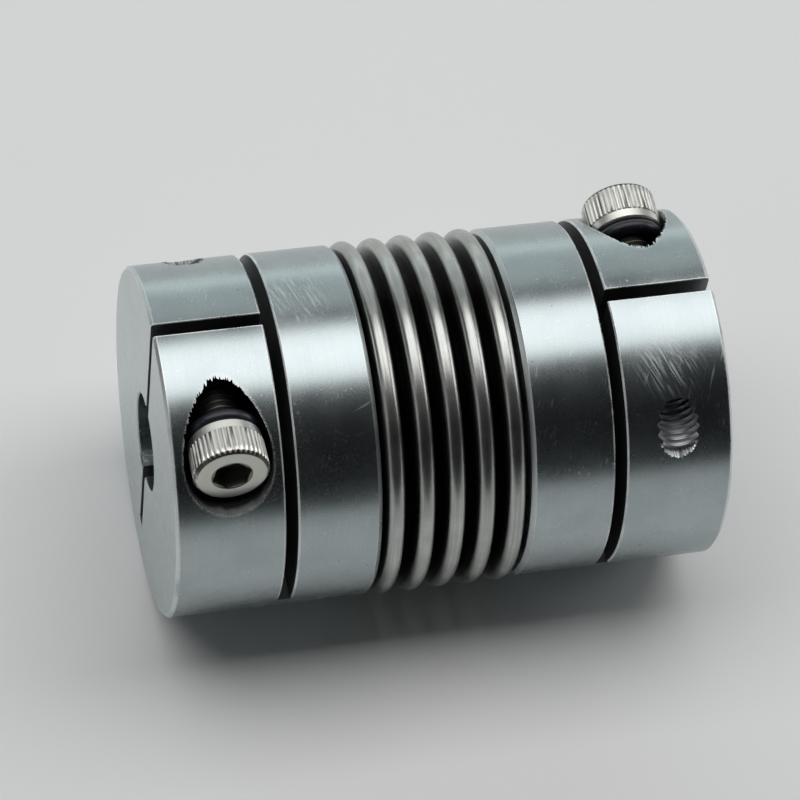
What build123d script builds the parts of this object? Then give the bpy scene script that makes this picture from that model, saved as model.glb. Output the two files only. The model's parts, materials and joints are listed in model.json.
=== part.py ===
from build123d import *
import math
import os

# A clamp-hub bellows coupling: two slotted aluminium hubs joined by a
# corrugated stainless steel bellows. Each hub grips its shaft by means of one
# socket-head screw that crosses a saw slit.
#
# Millimetres. +X runs along the shafts' common axis, from the left hub to the
# right hub, and +Z points out of the clamp slits. The origin is on the axis,
# halfway along the coupling. The right-hand pieces are the left-hand ones
# turned half a turn about Z.

# ---------------------------------------------------------------- hub blank
hub_diameter = 25.0
shaft_bore = 7.0
collar_length = 5.93       # the unslotted ring behind the clamp band
end_face_chamfer = 0.2
bore_chamfer = 0.1
bellows_side_chamfer = 0.3
groove_edge_chamfer = 0.1

# ---------------------------------------------------------- saw cuts in hub
slit_width = 0.97          # radial slit, and the blind slit opposite to it
hinge_wall = 3.1           # metal left outside the blind slit
groove_width = 0.87        # cross cut between the clamp band and the collar
groove_past_bore = 1.2     # how far the cross cut runs beyond the bore
slit_twist = 5.6           # angle between the two hubs' slits, in degrees

# ------------------------------------------------------------- clamp screw
thread_diameter = 3.0
screw_length = 12.0        # under the head
head_diameter = 5.3
head_height = 3.0
head_chamfer = 0.3
socket_across_flats = 2.5
socket_depth = 1.5
socket_mouth_chamfer = 0.1
tip_chamfer = 0.4
screw_to_rim = 3.85        # screw axis to the hub's outer surface
thread_clearance = 0.05    # radial, between the thread and its tapped hole
hole_clearance = 0.15      # radial, between the thread and its plain hole
head_clearance = 0.45      # radial, between the head and its counterbore
end_land = 0.83            # metal between the counterbore and the end face
groove_land = 0.62         # metal between the counterbore and the cross cut
seat_thickness = 1.7       # metal between the counterbore and the slit
backed_out = 3.95          # gap left under the ring with the screw loosened

# ------------------------------------------- rubber ring under a screw head
ring_section = 1.05
ring_clearance = 0.05      # radial, between the ring and the thread
ring_gap = 0.01            # between the ring and the underside of the head

# ------------------------------------------------------------------ bellows
convolutions = 5
bellows_pitch = 2.14
bellows_wall = 0.2
crest_width = 1.27         # outside, across one convolution
crest_proud = 0.15         # how far the crests stand outside the hubs
root_radius = 8.2          # inside the roots and the cuffs
end_gap = 0.39             # from a hub face to the first convolution's side
cuff_bend = 0.2            # mid-wall radius of the bend into a cuff
cuff_length = 2.7          # straight part of a cuff that lies inside the hub

# --------------------------------------------------------- bonded cuff seat
bond_thickness = 0.15
bond_setback = 0.15        # adhesive stops short of the seat's two ends
cuff_end_clearance = 0.2   # from the end of the cuff to the seat's floor
seat_mouth_chamfer = 0.15

# ----------------------------------------------------- sizes that follow
hub_radius = hub_diameter / 2
bore_radius = shaft_bore / 2
counterbore_diameter = head_diameter + 2 * head_clearance
clamp_length = end_land + counterbore_diameter + groove_land
hub_length = clamp_length + groove_width + collar_length
groove_floor = bore_radius + groove_past_bore
screw_station = end_land + counterbore_diameter / 2
screw_offset = hub_radius - screw_to_rim
seat_floor = slit_width / 2 + seat_thickness
head_underside = seat_floor + backed_out + ring_section + ring_gap
bellows_span = (convolutions - 1) * bellows_pitch + crest_width + 2 * end_gap
total_length = 2 * hub_length + bellows_span
hub_face = bellows_span / 2
cuff_outer = root_radius + bellows_wall
cuff_seat = cuff_outer + bond_thickness
cuff_seat_depth = cuff_length + cuff_end_clearance
clear_of_hub = hub_diameter       # long enough for any cutting tool


def ring_of(outer, inner, length):
    """A plain tube along +X from x = 0."""
    solid = Cylinder(outer, length) - Cylinder(inner, length)
    return Pos(length / 2, 0, 0) * Rot(0, 90, 0) * solid


def revolved(points):
    """A solid of revolution about X from (station, radius) points."""
    outline = make_face(Polyline(*points, close=True))
    return revolve(outline, axis=Axis.X)


def along_screw(radius, start, end):
    """A round bar on the clamp screw's axis, between two heights above the slit."""
    height = end - start
    bar = Cylinder(radius, height, align=(Align.CENTER, Align.CENTER, Align.MIN))
    return screw_place * Pos(0, 0, start) * bar


# The screw's own frame: +Z out of its head, the origin where its axis meets
# the middle of the slit.
screw_place = Pos(screw_station, 0, screw_offset) * Rot(90, 0, 0)


# ------------------------------------------------------------------- pieces
# Each left-hand piece is made with the slit pointing along +Z and the
# hub's end face at x = 0.

def hub_blank():
    """The turned hub: outside, through bore and the seat for the bellows' cuff."""
    seat_start = hub_length - cuff_seat_depth
    return revolved([
        (0, bore_radius + bore_chamfer),
        (0, hub_radius - end_face_chamfer),
        (end_face_chamfer, hub_radius),
        (hub_length - bellows_side_chamfer, hub_radius),
        (hub_length, hub_radius - bellows_side_chamfer),
        (hub_length, cuff_seat + seat_mouth_chamfer),
        (hub_length - seat_mouth_chamfer, cuff_seat),
        (seat_start, cuff_seat),
        (seat_start, bore_radius + bore_chamfer),
        (seat_start - bore_chamfer, bore_radius),
        (bore_chamfer, bore_radius),
    ])


def cross_cut():
    """The saw cut that frees the clamp band from the collar over most of the hub."""
    cut_height = groove_floor + clear_of_hub
    cut = Box(groove_width, 2 * clear_of_hub, cut_height)
    middle = (clear_of_hub - groove_floor) / 2
    return Pos(clamp_length + groove_width / 2, 0, middle) * cut


def slits():
    """The open slit above the bore and the blind slit below it."""
    length = clamp_length + groove_width
    blind_end = hub_radius - hinge_wall
    height = blind_end + clear_of_hub
    cut = Box(length, slit_width, height)
    return Pos(length / 2, 0, (clear_of_hub - blind_end) / 2) * cut


def screw_hole():
    """Counterbore and plain hole on the head side, tapped hole on the other."""
    counterbore = along_screw(counterbore_diameter / 2, seat_floor, clear_of_hub)
    plain = along_screw(thread_diameter / 2 + hole_clearance, 0, clear_of_hub)
    tapped = along_screw(thread_diameter / 2 + thread_clearance, -clear_of_hub, 0)
    return counterbore + plain + tapped


def groove_rims(hub):
    """The two outer edges of the cross cut."""
    stations = (clamp_length, clamp_length + groove_width)
    rims = hub.edges().filter_by(GeomType.CIRCLE)
    rims = rims.filter_by(lambda e: abs(e.radius - hub_radius) < 1e-4)
    return rims.filter_by(lambda e: min(abs(e.center().X - x) for x in stations) < 1e-4)


def clamp_hub():
    """One finished hub."""
    hub = hub_blank() - cross_cut()
    hub = chamfer(groove_rims(hub), groove_edge_chamfer)
    return hub - slits() - screw_hole()


def clamp_screw():
    """Socket-head cap screw, backed out of the hub. Its thread is a plain bar."""
    head = Cylinder(head_diameter / 2, head_height, align=(Align.CENTER, Align.CENTER, Align.MIN))
    top = head.edges().group_by(Axis.Z)[-1]
    head = chamfer(top, head_chamfer)
    hexagon = RegularPolygon(socket_across_flats / 2, 6, major_radius=False)
    socket = Pos(0, 0, head_height - socket_depth) * extrude(hexagon, socket_depth)
    mouth_bottom = socket_across_flats / 2 - socket_mouth_chamfer
    mouth_top = mouth_bottom * 2 / math.sqrt(3) + socket_mouth_chamfer
    mouth_height = mouth_top - mouth_bottom
    mouth = Pos(0, 0, head_height - mouth_height / 2) * Cone(mouth_bottom, mouth_top, mouth_height)
    shank = Cylinder(thread_diameter / 2, screw_length, align=(Align.CENTER, Align.CENTER, Align.MAX))
    tip = shank.edges().group_by(Axis.Z)[0]
    shank = chamfer(tip, tip_chamfer)
    screw = head + shank - socket - mouth
    return screw_place * Pos(0, 0, head_underside) * screw


def screw_ring():
    """Rubber ring that keeps the loosened screw from falling out."""
    inner = thread_diameter / 2 + ring_clearance
    ring = Torus(inner + ring_section / 2, ring_section / 2)
    height = head_underside - ring_gap - ring_section / 2
    return screw_place * Pos(0, 0, height) * ring


def bond_ring():
    """Cured adhesive that fills the gap between the bellows' cuff and its seat."""
    length = cuff_length - 2 * bond_setback
    start = hub_length - cuff_length + bond_setback
    return Pos(start, 0, 0) * ring_of(cuff_seat, cuff_outer, length)


def arc(centre, radius, start, end):
    """An arc about a centre, from one angle to another, in degrees."""
    angles = [math.radians(a) for a in (start, (start + end) / 2, end)]
    x, y = centre
    return ThreePointArc(*[(x + radius * math.cos(a), y + radius * math.sin(a)) for a in angles])


def bellows_side(offset):
    """One side of the bellows' wall, from the left cuff's end to the right one's.

    offset is half the wall: positive for the outside, negative for the inside.
    """
    crest_bend = (crest_width - bellows_wall) / 2
    root_bend = bellows_pitch / 2 - crest_bend
    mid_root = root_radius + bellows_wall / 2
    crest_centre = hub_radius + crest_proud - crest_width / 2
    root_centre = mid_root + root_bend
    first = -(convolutions - 1) * bellows_pitch / 2
    cuff_end = hub_face + cuff_length
    bend_x = first - crest_bend - cuff_bend
    bend_centre = mid_root + cuff_bend
    flank = crest_bend + offset

    lines = [Line((-cuff_end, mid_root + offset), (bend_x, mid_root + offset))]
    lines.append(arc((bend_x, bend_centre), cuff_bend - offset, 270, 360))
    foot = bend_centre
    for number in range(convolutions):
        middle = first + number * bellows_pitch
        lines.append(Line((middle - flank, foot), (middle - flank, crest_centre)))
        lines.append(arc((middle, crest_centre), flank, 180, 0))
        last = number == convolutions - 1
        foot = bend_centre if last else root_centre
        lines.append(Line((middle + flank, crest_centre), (middle + flank, foot)))
        if not last:
            valley = (middle + bellows_pitch / 2, root_centre)
            lines.append(arc(valley, root_bend - offset, 180, 360))
    lines.append(arc((-bend_x, bend_centre), cuff_bend - offset, 180, 270))
    lines.append(Line((-bend_x, mid_root + offset), (cuff_end, mid_root + offset)))
    return lines


def bellows():
    """The corrugated tube, with a plain cuff at each end."""
    outside = bellows_side(bellows_wall / 2)
    inside = bellows_side(-bellows_wall / 2)
    left_end = Line(outside[0] @ 0, inside[0] @ 0)
    right_end = Line(outside[-1] @ 1, inside[-1] @ 1)
    outline = make_face([*outside, *inside, left_end, right_end])
    return revolve(outline, axis=Axis.X)


# ----------------------------------------------------------------- assembly

def on_the_left(piece):
    """Move a piece from its hub's own frame to the left end of the coupling."""
    return Pos(-total_length / 2, 0, 0) * Rot(-slit_twist / 2, 0, 0) * piece


def on_the_right(piece):
    """The same piece on the right-hand hub."""
    return Rot(0, 0, 180) * on_the_left(piece)


hub_pieces = {
    "hub": clamp_hub(),
    "bond_ring": bond_ring(),
    "clamp_screw": clamp_screw(),
    "screw_ring": screw_ring(),
}
nodes = {"bellows": bellows()}
for name, piece in hub_pieces.items():
    nodes["left_" + name] = on_the_left(piece)
    nodes["right_" + name] = on_the_right(piece)

os.makedirs("parts", exist_ok=True)
for name, piece in nodes.items():
    export_step(piece, f"parts/{name}.step")
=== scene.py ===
import json
import math
import random

import bpy
from mathutils import Matrix, Vector


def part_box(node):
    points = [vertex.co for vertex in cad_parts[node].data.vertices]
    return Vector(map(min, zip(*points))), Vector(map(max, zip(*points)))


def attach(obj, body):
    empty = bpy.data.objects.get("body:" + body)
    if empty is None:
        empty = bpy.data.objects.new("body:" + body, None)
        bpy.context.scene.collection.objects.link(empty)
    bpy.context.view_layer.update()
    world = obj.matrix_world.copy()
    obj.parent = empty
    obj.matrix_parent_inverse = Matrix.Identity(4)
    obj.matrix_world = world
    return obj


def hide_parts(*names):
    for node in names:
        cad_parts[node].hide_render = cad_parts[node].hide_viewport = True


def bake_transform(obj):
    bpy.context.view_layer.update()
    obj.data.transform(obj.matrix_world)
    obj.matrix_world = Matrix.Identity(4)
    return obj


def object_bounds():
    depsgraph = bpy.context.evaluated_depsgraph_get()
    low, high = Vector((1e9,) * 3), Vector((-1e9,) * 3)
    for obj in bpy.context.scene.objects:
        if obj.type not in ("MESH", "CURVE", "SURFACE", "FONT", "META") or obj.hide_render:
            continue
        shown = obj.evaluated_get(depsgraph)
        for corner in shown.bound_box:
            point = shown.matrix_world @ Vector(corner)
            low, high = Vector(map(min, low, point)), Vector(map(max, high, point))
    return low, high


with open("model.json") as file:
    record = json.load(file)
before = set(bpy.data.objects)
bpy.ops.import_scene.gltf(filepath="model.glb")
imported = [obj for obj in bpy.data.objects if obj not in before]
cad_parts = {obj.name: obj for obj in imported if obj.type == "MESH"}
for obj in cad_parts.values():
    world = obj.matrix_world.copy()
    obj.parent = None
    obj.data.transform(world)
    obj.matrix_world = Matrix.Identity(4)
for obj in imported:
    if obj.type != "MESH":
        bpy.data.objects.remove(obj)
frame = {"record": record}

cad_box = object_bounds()
mm = 0.001

# ======================================================== the two clamp hubs
# Each hub is turned from bright aluminium bar and bored for its shaft. A saw
# then opens the clamp slit, the blind slit opposite to it and a cross cut
# behind the clamp band, and a drill makes the counterbored screw hole.

joints = {joint["name"]: joint for joint in frame["record"]["behaviour"]["joints"]}
mounts = {mount["name"]: mount for mount in frame["record"]["mounts"]}
hub_low, hub_high = (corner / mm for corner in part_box("left_hub"))
hub_length = hub_high.x - hub_low.x
hub_radius = (hub_high.y - hub_low.y) / 2
bore_radius = mounts["left_bore"]["dims"]["r_mm"]
screw_point = Vector(joints["left_screw_turn"]["pos_m"]) / mm
screw_axis = Vector(joints["left_screw_turn"]["axis"])
slit_lean = math.atan2(screw_axis.z, -screw_axis.y)
screw_station = screw_point.x - hub_low.x
screw_offset = math.hypot(screw_point.y, screw_point.z)

groove_land = 0.62
groove_width = 0.87
groove_floor = bore_radius + 1.2
rim_chamfer = 0.1
slit_half = 0.485
slit_chamfer = 0.05
blind_end = hub_radius - 3.1
end_chamfer = 0.2
collar_chamfer = 0.3
bore_chamfer = 0.1
cuff_seat = 8.55
cuff_seat_depth = 2.9
seat_chamfer = 0.15
screw_seat = 2.185
counterbore = 3.1
plain_hole = 1.65
tapped_hole = 1.52
tap_root = 1.32
exit_radius = 1.42
exit_reach = 9.75
exit_drop = 0.25
thread_pitch = 0.5
clamp_length = screw_station + counterbore + groove_land
groove_end = clamp_length + groove_width
groove_middle = clamp_length + groove_width / 2
beyond = 2 * hub_radius
hub_steps = 256
torn_sides = 288
exit_sides = 96
thread_steps = 32
tap_turns = 25
weld_distance = 0.0005


def nothing_selected():
    """Object mode, with nothing selected: operators act on all that is."""
    if bpy.context.object and bpy.context.object.mode != "OBJECT":
        bpy.ops.object.mode_set(mode="OBJECT")
    bpy.ops.object.select_all(action="DESELECT")


def only(piece):
    """Make one piece the only one selected, and the active one."""
    nothing_selected()
    piece.select_set(True)
    bpy.context.view_layer.objects.active = piece


def traced(name, points, start=0.0):
    """One line through points of (x, radius) in mm, shifted by start along X, in edit mode."""
    nothing_selected()
    bpy.ops.mesh.primitive_plane_add(size=mm)
    piece = bpy.context.object
    piece.name = piece.data.name = name
    bpy.ops.object.mode_set(mode="EDIT")
    bpy.ops.mesh.merge(type="CENTER")
    bpy.ops.transform.translate(value=((start + points[0][0]) * mm, 0, points[0][1] * mm))
    for (x0, r0), (x1, r1) in zip(points, points[1:]):
        step = ((x1 - x0) * mm, 0, (r1 - r0) * mm)
        bpy.ops.mesh.extrude_vertices_move(TRANSFORM_OT_translate={"value": step})
    return piece


def welded():
    """In edit mode, merge the points that lie at the same place."""
    bpy.ops.mesh.select_all(action="SELECT")
    bpy.ops.mesh.remove_doubles(threshold=weld_distance * mm)


def closed(piece, finish):
    """Turn every face outwards, leave edit mode and give the piece its finish."""
    bpy.ops.mesh.select_all(action="SELECT")
    bpy.ops.mesh.normals_make_consistent(inside=False)
    bpy.ops.object.mode_set(mode="OBJECT")
    piece.data.materials.append(finish)
    return piece


def turned(name, outline, steps, finish):
    """A piece turned about X from a closed outline of (x, radius) points in mm."""
    piece = traced(name, outline + outline[:1])
    welded()
    bpy.ops.mesh.spin(steps=steps, angle=2 * math.pi, center=(0, 0, 0), axis=(1, 0, 0))
    welded()
    return closed(piece, finish)


def stations(start, end, step):
    """Evenly spaced values from start to end, near step apart."""
    count = max(1, round(abs(end - start) / step))
    return [start + (end - start) * i / count for i in range(count + 1)]


def block(low, high, finish):
    """A cutting block between two corners in mm."""
    nothing_selected()
    low, high = Vector(low), Vector(high)
    bpy.ops.mesh.primitive_cube_add(size=1, location=(low + high) / 2 * mm, scale=(high - low) * mm)
    tool = bpy.context.object
    bpy.ops.object.transform_apply(location=True, rotation=True, scale=True)
    tool.data.materials.append(finish)
    return tool


def flared(low, high, axis, end, factor, finish):
    """A cutting block whose end towards -axis or +axis is factor times as wide along Y."""
    tool = block(low, high, finish)
    bpy.ops.object.mode_set(mode="EDIT")
    bpy.ops.mesh.select_all(action="DESELECT")
    bpy.ops.object.mode_set(mode="OBJECT")
    edge = (low[axis] if end < 0 else high[axis]) * mm
    for vertex in tool.data.vertices:
        vertex.select = abs(vertex.co[axis] - edge) < 0.001 * mm
    bpy.ops.object.mode_set(mode="EDIT")
    bpy.ops.transform.resize(value=(1, factor, 1), center_override=(0, 0, 0))
    bpy.ops.object.mode_set(mode="OBJECT")
    return tool


def drill(radius, start, end, finish, sides=128):
    """A drill on the clamp screw's axis, between two distances from the slit towards its head."""
    nothing_selected()
    middle = Vector((screw_station, -(start + end) / 2, screw_offset))
    bpy.ops.mesh.primitive_cylinder_add(
        vertices=sides, radius=radius * mm, depth=abs(end - start) * mm,
        location=middle * mm, rotation=(math.pi / 2, 0, 0))
    tool = bpy.context.object
    bpy.ops.object.transform_apply(location=True, rotation=True, scale=True)
    tool.data.materials.append(finish)
    return tool


def threaded(name, profile, start, turns, finish):
    """A bar about X with a right-hand thread: the profile is one pitch of (x, radius) points."""
    bar = traced(name, profile, start)
    bpy.ops.object.mode_set(mode="OBJECT")
    winding = bar.modifiers.new("winding", "SCREW")
    winding.axis = "X"
    winding.angle = 2 * math.pi
    winding.screw_offset = thread_pitch * mm
    winding.iterations = turns
    winding.steps = winding.render_steps = thread_steps
    bpy.ops.object.modifier_apply(modifier=winding.name)
    bpy.ops.object.mode_set(mode="EDIT")
    welded()
    bpy.ops.mesh.fill_holes(sides=0)
    return closed(bar, finish)


def cut(piece, tool, how="DIFFERENCE"):
    """Take a tool away from a piece, or join or keep what it covers, with its finish on the cut."""
    only(piece)
    modifier = piece.modifiers.new("cut", "BOOLEAN")
    modifier.operation = how
    modifier.solver = "EXACT"
    modifier.material_mode = "TRANSFER"
    modifier.object = tool
    bpy.ops.object.modifier_apply(modifier=modifier.name)
    bpy.data.objects.remove(tool)


def put(piece, place):
    """Move a finished piece to its place in the row frame, and keep it there."""
    only(piece)
    piece.matrix_world = place
    bpy.ops.object.transform_apply(location=True, rotation=True, scale=True)


def copy_of(piece, name, place):
    """A copy with its own mesh, moved from the row frame by place."""
    twin = piece.copy()
    twin.data = piece.data.copy()
    twin.name = twin.data.name = name
    bpy.context.collection.objects.link(twin)
    put(twin, place)
    return twin


def soften(piece, angle=30):
    """Smooth shading, except across edges sharper than angle."""
    only(piece)
    bpy.ops.object.shade_smooth_by_angle(angle=math.radians(angle))


class Value:
    """A shader socket that can be used in sums. Each sum adds a Math node."""

    def __init__(self, finish, socket):
        self.finish = finish
        self.socket = socket

    def __add__(self, other):
        return self.finish.math("ADD", self, other)

    def __sub__(self, other):
        return self.finish.math("SUBTRACT", self, other)

    def __mul__(self, other):
        return self.finish.math("MULTIPLY", self, other)

    def __truediv__(self, other):
        return self.finish.math("DIVIDE", self, other)

    __radd__ = __add__
    __rmul__ = __mul__


class Finish:
    """One material: a shader with its constant values, and what varies over it."""

    def __init__(self, name, **constants):
        self.material = bpy.data.materials.new(name)
        self.material.use_nodes = True
        self.tree = self.material.node_tree
        self.shader = self.tree.nodes["Principled BSDF"]
        for socket, value in constants.items():
            self.shader.inputs[socket.replace("_", " ")].default_value = value

    def node(self, kind, settings, inputs, output=0):
        """Add a node: its settings first, then the values or links of its sockets."""
        node = self.tree.nodes.new(kind)
        for key, value in settings.items():
            setattr(node, key, value)
        for key, value in inputs.items():
            self.feed(node.inputs[key], value)
        return Value(self, node.outputs[output])

    def feed(self, socket, value):
        """Link a value to a socket, or set the socket to a number or colour."""
        if isinstance(value, Value):
            self.tree.links.new(value.socket, socket)
        else:
            socket.default_value = value

    def math(self, operation, *terms):
        """One operation on values or numbers."""
        return self.node("ShaderNodeMath", {"operation": operation}, dict(enumerate(terms)))

    def step(self, value, low, high):
        """0 below low and 1 above high, with a soft change between."""
        settings = {"interpolation_type": "SMOOTHSTEP"}
        return self.node("ShaderNodeMapRange", settings, {0: value, 1: low, 2: high})

    def mix(self, factor, first, second):
        """One colour into another as factor goes from 0 to 1."""
        inputs = {0: factor, 6: first, 7: second}
        return self.node("ShaderNodeMix", {"data_type": "RGBA"}, inputs, output=2)

    def vector(self, x, y, z):
        """Three values as one vector."""
        return self.node("ShaderNodeCombineXYZ", {}, {0: x, 1: y, 2: z})

    def noise(self, vector, scale, detail=2.0, w=None):
        """Noise about 0.5, in three dimensions, or four if w is given."""
        inputs = {"Vector": vector, "Scale": scale, "Detail": detail}
        settings = {"noise_dimensions": "3D"}
        if w is not None:
            settings["noise_dimensions"] = "4D"
            inputs["W"] = w
        return self.node("ShaderNodeTexNoise", settings, inputs)

    def about_axis(self, place):
        """Millimetres along and out from a piece's axis, and the turn as a cosine and sine.

        The same point is kept as self.local, which noise, scratches and spots are set out in.
        """
        at = self.node("ShaderNodeTexCoord", {}, {}, output=3)
        settings = {"vector_type": "TEXTURE"}
        inputs = {1: place.to_translation(), 2: place.to_euler()}
        local = self.node("ShaderNodeMapping", settings, {0: at, **inputs})
        settings = {"operation": "SCALE"}
        self.local = self.node("ShaderNodeVectorMath", settings, {0: local, "Scale": 1 / mm})
        split = self.node("ShaderNodeSeparateXYZ", {}, {0: self.local})
        along, across, up = (Value(self, socket) for socket in split.socket.node.outputs)
        radius = self.math("SQRT", across * across + up * up + 1e-6)
        return along, radius, across / radius, up / radius

    def strokes(self, spot, along, width, threshold):
        """Straight scratches drawn one way: width is in mm, and a higher threshold leaves fewer."""
        turn = Vector(along).to_track_quat("X", "Z").to_euler()
        stretch = 20
        settings = {"vector_type": "TEXTURE"}
        inputs = {0: self.local, 1: spot, 2: turn, 3: (stretch * width, width, width)}
        line = self.noise(self.node("ShaderNodeMapping", settings, inputs), 1.0)
        return self.step(line, threshold, threshold + 0.18)

    def near(self, spot, reach):
        """1 at a spot in mm, down to 0 at the given reach."""
        settings = {"operation": "DISTANCE"}
        away = self.node("ShaderNodeVectorMath", settings, {0: self.local, 1: spot}, output=1)
        return self.step(away, reach, 0.2 * reach)

    def surface(self, colour=None, roughness=None, height=None, depth=0.0):
        """What varies over the surface: its colour, its roughness and its relief in mm."""
        if colour is not None:
            self.feed(self.shader.inputs["Base Color"], colour)
        if roughness is not None:
            self.feed(self.shader.inputs["Roughness"], roughness)
        if height is not None:
            inputs = {"Strength": 1.0, "Distance": depth * mm, "Height": height}
            bump = self.node("ShaderNodeBump", {}, inputs)
            self.feed(self.shader.inputs["Normal"], bump)


lean = Matrix.Rotation(-slit_lean, 4, "X")
hub_place = Matrix.Translation((hub_low.x * mm, 0, 0)) @ lean
screw_place = Matrix.Translation(screw_point * mm) @ lean @ Matrix.Rotation(-math.pi / 2, 4, "Z")
half_turn = Matrix.Rotation(math.pi, 4, "Z")


def turned_aluminium(name, turn, seed, spot, along):
    """Fine rings left by the lathe, handling marks, an end face painted lighter as a painted highlight,
    and bright edges that are partly wear and partly painted highlight.

    One patch, at spot in mm, is rubbed along a direction. Both are in the piece's own frame.
    """
    finish = Finish(name, Metallic=1.0, IOR=1.45)
    from_screw, to_screw = finish.about_axis(turn @ screw_place)[:2]
    x, radius, cosine, sine = finish.about_axis(turn @ hub_place)
    rings = finish.noise(finish.vector((x + radius) * 15, cosine, sine), 1.0, detail=4.0, w=seed)
    grain = finish.noise(finish.local, 16.0, detail=3.0, w=seed)
    smudge = finish.noise(finish.local, 0.35, detail=4.0, w=seed)
    patches = finish.noise(finish.local, 0.45, detail=1.0, w=seed + 2)
    rubbed = finish.strokes(spot, along, 0.12, 0.47) * finish.near(spot, 3.2) * 0.65
    steep = finish.strokes((seed, 0, 0), (0.3, 0.8, -0.5), 0.17, 0.6)
    steep = steep * finish.step(patches, 0.5, 0.6)
    level = finish.strokes((0, seed, 0), (0.9, 0.3, 0.2), 0.17, 0.64)
    level = level * finish.step(patches, 0.5, 0.4)
    hairlines = finish.math("MAXIMUM", steep, level)
    dents = finish.step(finish.noise(finish.local, 1.3, detail=5.0, w=seed + 5), 0.69, 0.73)

    half_cut = groove_width / 2
    to_cut = finish.math("ABSOLUTE", x - groove_middle)
    to_slit = finish.math("ABSOLUTE", cosine * radius)
    outer = finish.step(radius, hub_radius - 0.32, hub_radius - 0.2)
    edge = finish.step(x, 0.32, 0.2) * outer * 0.55
    above_floor = finish.step(sine * radius, -groove_floor - 0.1, -groove_floor)
    edge = edge + finish.step(to_cut, half_cut + 0.16, half_cut + 0.1) * above_floor * 0.9
    edge = edge + finish.step(x, hub_length - 0.36, hub_length - 0.3) * 0.4
    slit_edge = finish.step(to_slit, slit_half + 0.15, slit_half + 0.07)
    slit_edge = slit_edge * finish.step(sine, 0.2, 0.3)
    edge = edge + slit_edge * finish.step(x, groove_end, clamp_length) * 0.7
    hole_edge = finish.step(to_screw, counterbore + 0.2, counterbore + 0.05)
    hole_edge = hole_edge * finish.step(from_screw, 0.0, 1.0)
    edge = edge + hole_edge * finish.step(grain, 0.45, 0.6) * 0.8
    # Edges, chamfers and the counterbore's rim are painted near white: partly real wear, partly painted
    # highlight.
    worn_and_highlit = finish.math("MINIMUM", edge * finish.step(grain + smudge, 0.78, 1.0), 1.0)

    end_face_highlight = finish.step(x, 0.1, 0.03)
    handled = finish.step(smudge, 0.3, 0.7)
    scratched = finish.math("MAXIMUM", hairlines * 0.5, rubbed * 0.7)
    colour = finish.mix(handled, (0.372, 0.428, 0.436, 1), (0.425, 0.483, 0.490, 1))
    # The end face is painted lighter than the rest of the hub: a painted highlight.
    colour = finish.mix(end_face_highlight * 0.8, colour, (0.53, 0.585, 0.59, 1))
    colour = finish.mix(finish.step(rings, 0.3, 0.75) * 0.3, colour, (0.33, 0.37, 0.375, 1))
    colour = finish.mix(scratched, colour, (0.80, 0.84, 0.85, 1))
    colour = finish.mix(worn_and_highlit, colour, (0.93, 0.95, 0.95, 1))
    colour = finish.mix(dents * 0.45, colour, (0.16, 0.17, 0.17, 1))
    rough = 0.19 + 0.10 * smudge + 0.06 * grain
    rough = rough + 0.15 * hairlines + 0.28 * rubbed + 0.3 * worn_and_highlit
    height = rings * 0.6 + grain * 0.3 - hairlines * 0.9 - rubbed * 0.9 - dents
    finish.surface(colour, rough, height, depth=0.0014)
    return finish.material


def sawn_aluminium():
    """Straight tooth marks across the walls of the slits and the cross cut."""
    finish = Finish("sawn_aluminium", Metallic=1.0, IOR=1.45)
    finish.about_axis(Matrix())
    strokes = finish.node("ShaderNodeMapping", {}, {0: finish.local, 3: (9.0, 9.0, 0.7)})
    teeth = finish.noise(strokes, 1.0, detail=3.0)
    chatter = finish.noise(finish.local, 2.0)
    colour = finish.mix(teeth, (0.10, 0.105, 0.11, 1), (0.24, 0.25, 0.255, 1))
    finish.surface(colour, 0.35 + 0.2 * teeth, teeth + chatter * 0.6, depth=0.006)
    return finish.material


def drilled_aluminium(name, turn):
    """Cutter rings round the walls of the screw hole, a painted highlight round its rim, and painted
    shade deeper in the hole.
    """
    finish = Finish(name, Metallic=1.0, IOR=1.45)
    outward = finish.about_axis(turn @ hub_place)[1]
    along, radius, cosine, sine = finish.about_axis(turn @ screw_place)
    rings = finish.noise(finish.vector(along * 7, cosine, sine), 1.0, detail=3.0)
    ragged_noise = finish.noise(finish.local, 1.1, detail=3.0)
    # Deeper in the hole the walls are painted near black: painted shade.
    sunk = finish.step(outward + 0.6 * ragged_noise, hub_radius + 0.18, hub_radius - 0.35)
    painted_deep_shade = finish.step(along, 0.0, 0.2) * sunk
    # A painted highlight round the hole's rim, broken up by noise.
    painted_rim = finish.step(outward, hub_radius - 0.16, hub_radius - 0.04) * finish.step(ragged_noise, 0.4, 0.6)
    colour = finish.mix(rings, (0.36, 0.38, 0.385, 1), (0.52, 0.54, 0.545, 1))
    colour = finish.mix(painted_deep_shade * 0.96, colour, (0.02, 0.02, 0.022, 1))
    colour = finish.mix(painted_rim * 0.8, colour, (0.8, 0.82, 0.82, 1))
    finish.surface(colour, 0.3 + 0.2 * rings + 0.2 * painted_deep_shade, rings, depth=0.004)
    return finish.material


turned_finish = turned_aluminium(
    "left_turned_aluminium", Matrix(), 1.0, (10.4, 1.8, 12.4), (0.25, -0.96, 0.14))
drilled_finish = drilled_aluminium("left_drilled_aluminium", Matrix())
sawn_finish = sawn_aluminium()


def hub_blank():
    """The turned blank, with its end face at x = 0."""
    seat = hub_length - cuff_seat_depth
    mouth = bore_radius + bore_chamfer
    face = [(0, radius) for radius in stations(mouth, hub_radius - end_chamfer, 1.1)]
    outside = [(x, hub_radius) for x in stations(end_chamfer, hub_length - collar_chamfer, 0.35)]
    outline = face + outside + [
        (hub_length, hub_radius - collar_chamfer),
        (hub_length, cuff_seat + seat_chamfer),
        (hub_length - seat_chamfer, cuff_seat),
        (seat, cuff_seat),
        (seat, mouth),
        (seat - bore_chamfer, bore_radius),
        (bore_chamfer, bore_radius),
    ]
    return turned("left_hub_body", outline, hub_steps, turned_finish)


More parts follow.
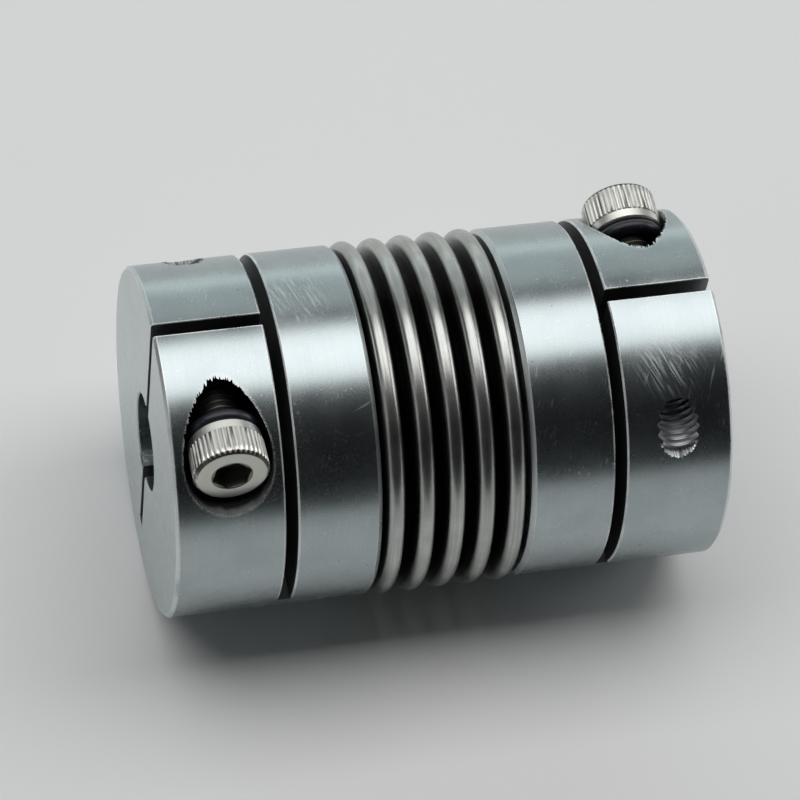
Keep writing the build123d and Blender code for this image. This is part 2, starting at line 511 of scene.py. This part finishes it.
def rim_cutter():
    """A V ring that breaks the two outer edges of the cross cut."""
    spare = 0.06
    flare = rim_chamfer + spare
    sunk = 0.15
    outline = [
        (clamp_length - flare, hub_radius + spare),
        (clamp_length + sunk, hub_radius - rim_chamfer - sunk),
        (groove_end - sunk, hub_radius - rim_chamfer - sunk),
        (groove_end + flare, hub_radius + spare),
    ]
    ring = turned("rim_cutter", outline, hub_steps, turned_finish)
    ring.rotation_euler.x = math.pi / hub_steps
    keep = block((0, -beyond, -groove_floor), (hub_length, beyond, beyond), sawn_finish)
    cut(ring, keep, "INTERSECT")
    return ring


def tear_edge(tool, tears, torn_side=None):
    """Move a drill's sides out by these parts of its radius, most on the torn side if there is one."""
    middle = Vector((screw_station, 0, screw_offset)) * mm
    for column, tear in enumerate(tears):
        for end in (0, 1):
            vertex = tool.data.vertices[2 * column + end]
            arm = vertex.co - middle
            arm.y = 0
            share = max(0.0, arm.normalized().dot(torn_side)) if torn_side else 1.0
            vertex.co += arm * tear * share


def counterbore_cutter():
    """The counterbore's drill, with a ragged edge where it tore out of the metal."""
    tool = drill(counterbore, screw_seat, beyond, drilled_finish, sides=torn_sides)
    chance = random.Random(4)
    tears = [chance.uniform(0.0, 0.05) * chance.choice((0, 1, 1)) for side in range(torn_sides)]
    tear_edge(tool, tears, torn_side=Vector((-0.6, 0, 0.8)))
    return tool


def tap():
    """The tap that cuts the far side's thread, a little larger than the screw's own."""
    profile = [(0.025, tap_root), (0.1, tap_root), (0.27, tapped_hole), (0.355, tapped_hole)]
    profile += [(0.525, tap_root)]
    tool = threaded("tap", profile, -tap_turns * thread_pitch, tap_turns, drilled_finish)
    place = Matrix.Translation((screw_station * mm, 0, screw_offset * mm))
    tool.matrix_world = place @ Matrix.Rotation(-math.pi / 2, 4, "Z")
    return tool


def torn_exit():
    """The shallow ragged step where the tap broke out of the far side."""
    tool = drill(exit_radius, -beyond, -exit_reach, drilled_finish, sides=exit_sides)
    chance = random.Random(7)
    tear_edge(tool, [chance.uniform(-0.03, 0.1) for side in range(exit_sides)])
    for vertex in tool.data.vertices:
        vertex.co.z -= exit_drop * mm
    return tool


def clamp_hub():
    """One hub in its own frame: end face at x = 0 and slit towards +Z."""
    hub = hub_blank()
    cut(hub, block((clamp_length, -beyond, -groove_floor), (groove_end, beyond, beyond), sawn_finish))
    cut(hub, rim_cutter())
    cut(hub, block((-beyond, -slit_half, -blind_end), (groove_end, slit_half, beyond), sawn_finish))
    spare = 0.03
    lips = slit_half + slit_chamfer
    flare = 1 + (lips / slit_half - 1) * (slit_chamfer + spare) / slit_chamfer
    low = (-spare, -slit_half, -blind_end)
    high = (slit_chamfer, slit_half, beyond)
    cut(hub, flared(low, high, 0, -1, flare, turned_finish))
    crown = math.sqrt(hub_radius ** 2 - slit_half ** 2)
    low = (-1, -slit_half, crown - slit_chamfer)
    high = (clamp_length, slit_half, crown + spare)
    cut(hub, flared(low, high, 2, 1, flare, turned_finish))
    cut(hub, drill(plain_hole, -0.1, beyond, drilled_finish))
    cut(hub, counterbore_cutter())
    cut(hub, tap())
    cut(hub, torn_exit())
    soften(hub)
    return hub


left_hub = clamp_hub()
put(left_hub, hub_place)
right_hub = copy_of(left_hub, "right_hub_body", half_turn)
right_finishes = {
    "left_turned_aluminium": turned_aluminium(
        "right_turned_aluminium", half_turn, 2.0, (4.15, 5.5, 11.2), (-0.42, 0.79, -0.435)),
    "left_drilled_aluminium": drilled_aluminium("right_drilled_aluminium", half_turn),
}
for slot, finish in enumerate(right_hub.data.materials):
    right_hub.data.materials[slot] = right_finishes.get(finish.name, finish)
for piece, side in ((left_hub, "left"), (right_hub, "right")):
    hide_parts(side + "_hub")
    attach(piece, side + "_hub")

# =============================================================== the bellows
# One corrugated tube of thin stainless steel, pressure formed in a mould, with
# a plain cuff at each end that slides into a hub's seat. Its two lengths meet
# unseen in the bottom of a root.

bellows_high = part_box("bellows")[1] / mm
crest_top = bellows_high.z
cuff_end = bellows_high.x
convolutions = 5
bellows_pitch = 2.14
bellows_wall = 0.2
crest_width = 1.27
root_radius = 8.2
cuff_bend = 0.2
bellows_steps = 200
seam = bellows_pitch / 2


def arc(centre, radius, start, end, parts):
    """Points along an arc about (x, radius), from one angle to another, in degrees."""
    turns = [math.radians(start + (end - start) * i / parts) for i in range(parts + 1)]
    return [(centre[0] + radius * math.cos(a), centre[1] + radius * math.sin(a)) for a in turns]


def bellows_side(offset):
    """One side of the wall from the left cuff to the right one: offset is half a wall."""
    crest_bend = (crest_width - bellows_wall) / 2
    root_bend = bellows_pitch / 2 - crest_bend
    mid_root = root_radius + bellows_wall / 2
    crest_centre = crest_top - crest_width / 2
    root_centre = mid_root + root_bend
    first = -(convolutions - 1) * bellows_pitch / 2
    bend_x = first - crest_bend - cuff_bend
    bend_centre = mid_root + cuff_bend
    points = [(x, mid_root + offset) for x in stations(-cuff_end, bend_x, 0.6)[:-1]]
    points += arc((bend_x, bend_centre), cuff_bend - offset, 270, 360, 4)
    for number in range(convolutions):
        middle = first + number * bellows_pitch
        points += arc((middle, crest_centre), crest_bend + offset, 180, 0, 18)
        if number < convolutions - 1:
            valley = (middle + bellows_pitch / 2, root_centre)
            points += arc(valley, root_bend - offset, 180, 360, 12)
    points += arc((-bend_x, bend_centre), cuff_bend - offset, 180, 270, 4)
    points += [(x, mid_root + offset) for x in stations(-bend_x, cuff_end, 0.6)[1:]]
    return points


def bellows_length(name, left, finish):
    """The bellows to the left of the seam, or to the right of it."""
    sides = []
    for offset in (bellows_wall / 2, -bellows_wall / 2):
        points = bellows_side(offset)
        on_seam = [i for i, (x, radius) in enumerate(points) if abs(x - seam) < 1e-6]
        at_seam = min(on_seam, key=lambda i: points[i][1])
        sides.append(points[:at_seam + 1] if left else points[at_seam:])
    outside, inside = sides
    piece = turned(name, outside + inside[::-1], bellows_steps, finish)
    soften(piece)
    return piece


def formed_steel():
    """Dull stainless strip: hoop-wise drawing marks, and painted shade on the flanks, darkest in the
    roots.
    """
    finish = Finish("formed_steel", Metallic=1.0, IOR=1.45)
    x, radius, cosine, sine = finish.about_axis(Matrix())
    section = finish.vector(x * 18, radius * 18, cosine * 1.5)
    drawn = finish.noise(section, 1.0, detail=3.0, w=sine * 1.5)
    patch = finish.noise(finish.local, 0.5, detail=3.0)
    pits = finish.noise(finish.local, 14.0, detail=3.0)
    # Painted shade: the flanks darken below the crests, and the roots are painted near black.
    painted_flank_shade = finish.step(radius, crest_top - 0.22, crest_top - 0.75)
    painted_deep_shade = finish.step(radius, crest_top - 0.5, crest_top - 1.5)
    colour = finish.mix(finish.step(patch, 0.3, 0.7), (0.40, 0.42, 0.40, 1), (0.52, 0.54, 0.515, 1))
    colour = finish.mix(finish.step(drawn, 0.4, 0.65) * 0.6, colour, (0.30, 0.31, 0.295, 1))
    colour = finish.mix(painted_flank_shade * 0.45, colour, (0.13, 0.13, 0.125, 1))
    colour = finish.mix(painted_deep_shade, colour, (0.045, 0.045, 0.043, 1))
    rough = 0.21 + 0.1 * drawn + 0.08 * patch + 0.1 * painted_deep_shade
    finish.surface(colour, rough, drawn + pits * 0.5, depth=0.003)
    return finish.material


formed_finish = formed_steel()
left_bellows = bellows_length("bellows_left_length", True, formed_finish)
right_bellows = bellows_length("bellows_right_length", False, formed_finish)
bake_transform(left_bellows)
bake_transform(right_bellows)
for piece in (left_bellows, right_bellows):
    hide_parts("bellows")

# ========================================================== the bonded seats
# A thin ring of cured adhesive fills the gap between each cuff and its seat.
# It drew back into a hollow at both ends as it set.

bond_low, bond_high = (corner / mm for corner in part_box("left_bond_ring"))
bond_thickness = 0.15


def cured_adhesive():
    """Amber grey adhesive with small bubbles."""
    finish = Finish("cured_adhesive", Roughness=0.3, IOR=1.5)
    finish.about_axis(Matrix())
    cloud = finish.noise(finish.local, 1.5, detail=4.0)
    bubbles = finish.noise(finish.local, 12.0, detail=1.0)
    colour = finish.mix(cloud, (0.30, 0.24, 0.15, 1), (0.46, 0.40, 0.28, 1))
    finish.surface(colour, 0.25 + 0.2 * cloud, finish.step(bubbles, 0.6, 0.7), depth=0.01)
    return finish.material


def bond_ring():
    """The left-hand ring of adhesive."""
    outer = bond_high.z
    middle = outer - bond_thickness / 2
    hollow = bond_thickness * 0.45
    parts = 8
    left = arc((bond_low.x, middle), bond_thickness / 2, 90, -90, parts)
    right = arc((bond_high.x, middle), bond_thickness / 2, 270, 90, parts)
    squash = hollow / (bond_thickness / 2)
    left = [(bond_low.x + (x - bond_low.x) * squash, radius) for x, radius in left]
    right = [(bond_high.x + (x - bond_high.x) * squash, radius) for x, radius in right]
    ring = turned("left_bond", left + right, 128, cured_adhesive())
    soften(ring, 40)
    return ring


left_bond = bond_ring()
right_bond = copy_of(left_bond, "right_bond", half_turn)
for piece, side in ((left_bond, "left"), (right_bond, "right")):
    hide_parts(side + "_bond_ring")
    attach(piece, side + "_hub")

# ========================================================== the clamp screws
# M3 socket-head cap screws, cold headed and thread rolled from steel wire,
# with a straight knurl round the head and bright nickel plating. Both are
# backed well out of their counterbores.

head_underside = 7.195
screw_length = 12.0
head_radius = 2.65
head_height = 3.0
head_top = head_underside + head_height
head_chamfer = 0.27
band_radius = 2.57
band_height = 0.72
thread_crest = 1.48
thread_root = 1.2
thread_start = -9
thread_turns = 21
tip_radius = 0.9
tip_length = 0.7
neck_length = 0.9
knurl_teeth = 44
steps_per_tooth = 4
tooth_depth = 0.08
socket_flats = 2.5
socket_depth = 1.5
socket_turn = math.radians(-12)
mouth_radius = 1.38
mouth_flare = 0.05


def plated_steel(name, place):
    """Bright nickel plating, with grime in the knurl, a darker top face and socket, and painted shade
    on the top rim's upper side and on the shank.
    """
    finish = Finish(name, Metallic=1.0, IOR=1.45)
    x, radius, cosine, sine = finish.about_axis(place)
    knurl_low = head_underside + band_height
    fine = finish.noise(finish.local, 10.0, detail=4.0)
    cloud = finish.noise(finish.local, 1.6, detail=3.0)
    lay = finish.noise(finish.vector(x * 9 + radius * 9, cosine, sine), 1.0)
    worn_in = finish.noise(finish.vector(x * 0.3, cosine * 5, sine * 5), 1.0, detail=1.0)
    on_head = finish.step(x, knurl_low - 0.05, knurl_low + 0.05)
    valley = on_head * finish.step(radius, head_radius - 0.01, head_radius - tooth_depth * 0.8)
    valley = valley * finish.step(radius, head_radius - 0.3, head_radius - 0.14)
    valley = valley * (0.25 + finish.step(worn_in, 0.48, 0.62) * 0.65)
    # Painted shade: the top rim's chamfer is painted dark on its upper side.
    painted_rim = finish.step(x, head_top - 0.29, head_top - 0.24)
    painted_rim = painted_rim * finish.step(radius, head_radius - 0.3, head_radius - 0.22)
    painted_rim = painted_rim * finish.step(sine, -0.2, 0.4)
    face = finish.step(x, head_top - 0.04, head_top - 0.01)
    # The shank is painted dark: painted shade inside the counterbore, on steel that is also oily.
    shank = finish.step(x, head_underside - 0.02, head_underside - 0.12)
    socket = finish.step(radius, 1.47, 1.42) * on_head
    colour = finish.mix(cloud, (0.84, 0.85, 0.79, 1), (0.95, 0.95, 0.90, 1))
    colour = finish.mix(face * 0.85, colour, (0.50, 0.52, 0.465, 1))
    colour = finish.mix(valley, colour, (0.05, 0.047, 0.04, 1))
    colour = finish.mix(painted_rim * 0.9, colour, (0.06, 0.055, 0.045, 1))
    colour = finish.mix(socket * 0.85, colour, (0.14, 0.14, 0.12, 1))
    colour = finish.mix(shank * 0.9, colour, (0.09, 0.085, 0.075, 1))
    rough = 0.27 + 0.12 * fine + 0.1 * cloud + 0.1 * socket + 0.1 * shank
    finish.surface(colour, rough, fine * 0.6 + lay * 0.7, depth=0.0022)
    return finish.material


def screw_blank(finish):
    """Head and neck about X, with the knurl's valleys pressed in."""
    steps = knurl_teeth * steps_per_tooth
    knurl_start = head_underside + band_height + 0.07
    knurl_end = head_top - head_chamfer
    neck = head_underside - neck_length
    outline = [(neck - 0.3, 0), (neck - 0.3, thread_root - 0.02), (neck, thread_crest)]
    outline += [(head_underside - 0.2, thread_crest), (head_underside - 0.05, 1.53)]
    outline += [(head_underside, 1.65), (head_underside, band_radius - 0.2)]
    outline += [(head_underside + 0.02, band_radius - 0.1)]
    outline += [(head_underside + 0.12, band_radius), (head_underside + band_height, band_radius)]
    outline += [(x, head_radius) for x in stations(knurl_start, knurl_end, 0.45)]
    outline += [(head_top - 0.1, head_radius - 0.13), (head_top - 0.02, head_radius - 0.24)]
    outline += [(head_top, head_radius - 0.34), (head_top, 1.6), (head_top, 0)]
    screw = turned("screw_blank", outline, steps, finish)
    for vertex in screw.data.vertices:
        x, y, z = vertex.co / mm
        if math.hypot(y, z) > head_radius - 0.01:
            column = round(math.atan2(z, y) / (2 * math.pi) * steps) % steps_per_tooth
            if column >= steps_per_tooth // 2:
                vertex.co.yz = Vector((y, z)) * mm * (1 - tooth_depth / head_radius)
    return screw


def punch(finish):
    """The hexagonal punch that forms the socket, with its point."""
    corner = socket_flats / math.sqrt(3)
    bottom = head_top - socket_depth
    outline = [(bottom - 0.35, 0), (bottom, corner * 0.98), (head_top + 1, corner), (head_top + 1, 0)]
    tool = turned("punch", outline, 6, finish)
    tool.rotation_euler.x = socket_turn
    return tool


def clamp_screw(name, place, shade):
    """A whole screw, put in its place."""
    finish = plated_steel(shade, place)
    screw = screw_blank(finish)
    low, high = head_top - mouth_flare, head_top + mouth_flare
    mouth = [(low, 0), (low, mouth_radius - mouth_flare), (high, mouth_radius + mouth_flare), (high, 0)]
    cut(screw, punch(finish))
    cut(screw, turned("mouth", mouth, 96, finish))
    tip = head_underside - screw_length
    root = thread_root
    profile = [(0, root), (0.125, root), (0.28, thread_crest), (0.345, thread_crest), (0.5, root)]
    thread = threaded("thread", profile, thread_start * thread_pitch, thread_turns, finish)
    shoulder = tip + tip_length
    point = [(tip, 0), (tip, tip_radius), (tip + tip_length / 2, root + 0.1)]
    point += [(shoulder, root + 0.02), (shoulder, 0)]
    cut(thread, turned("point", point, 64, finish), "UNION")
    cut(screw, thread, "UNION")
    put(screw, place)
    screw.name = screw.data.name = name
    soften(screw, 32)
    return screw


for side, place in (("left", screw_place), ("right", half_turn @ screw_place)):
    screw = clamp_screw(side + "_screw_body", place, side + "_plated_steel")
    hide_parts(side + "_clamp_screw")
    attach(screw, side + "_screw")

# ============================================== the rings under screw heads
# A moulded rubber ring grips each screw just under its head and keeps it from
# dropping out when the clamp is slack.

ring_section = 1.05
ring_inner = 1.55
ring_gap = 0.01
parting_line = 0.012


def black_rubber(name, place):
    """Smooth black rubber with a faint bloom and specks of dust."""
    finish = Finish(name, Roughness=0.3, IOR=1.5)
    finish.about_axis(place)
    bloom = finish.noise(finish.local, 0.9, detail=3.0)
    dust = finish.noise(finish.local, 11.0)
    specks = finish.step(dust, 0.68, 0.74)
    colour = finish.mix(bloom, (0.004, 0.005, 0.009, 1), (0.012, 0.014, 0.024, 1))
    colour = finish.mix(specks * 0.5, colour, (0.30, 0.30, 0.30, 1))
    finish.surface(colour, 0.24 + 0.2 * bloom + 0.3 * specks, bloom + specks * 0.3, depth=0.01)
    return finish.material


def screw_ring(name, place, shade):
    """The ring, with the mould's fine parting line round its outside."""
    tube = ring_section / 2
    middle = (head_underside - ring_gap - tube, ring_inner + tube)
    outline = arc(middle, tube, 0, 360, 40)[:-1]
    for i, (x, radius) in enumerate(outline):
        if abs(x - middle[0]) < 0.05 and radius > middle[1]:
            outline[i] = (x, radius + parting_line)
    ring = turned(name, outline, 128, black_rubber(shade, place))
    put(ring, place)
    soften(ring, 50)
    return ring


for side, place in (("left", screw_place), ("right", half_turn @ screw_place)):
    ring = screw_ring(side + "_ring_body", place, side + "_black_rubber")
    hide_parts(side + "_screw_ring")
    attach(ring, side + "_ring")

# ================================================= the table, lights, camera
# The coupling lies on a pale table under one broad soft light, with two more
# behind it and a small one at each side.

nothing_selected()
bpy.ops.mesh.primitive_plane_add(size=4, location=(0, 0, cad_box[0].z))
table = bpy.context.object
table.name = "table"
table_finish = Finish("pale_table", Roughness=0.9)
table_finish.surface((0.86, 0.875, 0.875, 1))
table.data.materials.append(table_finish.material)


def soft_light(name, location, width, length, power, tint=(1, 1, 1)):
    """A flat panel facing the coupling, its length along X if it hangs above or behind."""
    away = Vector(location)
    nothing_selected()
    bpy.ops.object.light_add(type="AREA", location=away)
    lamp = bpy.context.object
    lamp.name = name
    lamp.rotation_euler = away.to_track_quat("Z", "Y").to_euler()
    lamp.data.shape = "RECTANGLE"
    lamp.data.size = length
    lamp.data.size_y = width
    lamp.data.energy = power
    lamp.data.color = tint


soft_light("overhead_panel", (0, 0.104, 0.591), 0.42, 1.2, 3.5, (1.0, 0.98, 0.98))
soft_light("back_panel", (0, 0.816, 0.380), 0.74, 1.6, 2.35, (0.94, 1.0, 1.0))
soft_light("low_back_panel", (0, 0.84, 0.1), 0.22, 1.6, 0.7, (0.94, 1.0, 1.0))
soft_light("left_panel", (-0.8, -0.1, 0.25), 0.5, 0.5, 0.35)
soft_light("right_panel", (0.8, 0.1, 0.3), 0.36, 0.36, 1.0)

world = bpy.data.worlds.new("studio")
bpy.context.scene.world = world
world.use_nodes = True
world.node_tree.nodes["Background"].inputs["Color"].default_value = (0.012, 0.012, 0.013, 1)

camera_aim = Vector((-1.126, 0.885, 0.318)) * mm
camera_distance = 284.43 * mm
camera_azimuth = math.radians(19.233)
camera_elevation = math.radians(54.146)
camera_roll = math.radians(9.257)
level = math.cos(camera_elevation)
back = Vector((-math.sin(camera_azimuth) * level, -math.cos(camera_azimuth) * level,
               math.sin(camera_elevation)))
nothing_selected()
bpy.ops.object.camera_add(location=camera_aim + back * camera_distance)
camera = bpy.context.object
facing = back.to_track_quat("Z", "Y").to_matrix().to_4x4()
camera.rotation_euler = (facing @ Matrix.Rotation(camera_roll, 4, "Z")).to_euler()
camera.data.lens = 178.656
camera.data.sensor_width = 36
camera.data.clip_start = 0.01
bpy.context.scene.camera = camera
bpy.context.scene.view_settings.view_transform = "Standard"

nothing_selected()
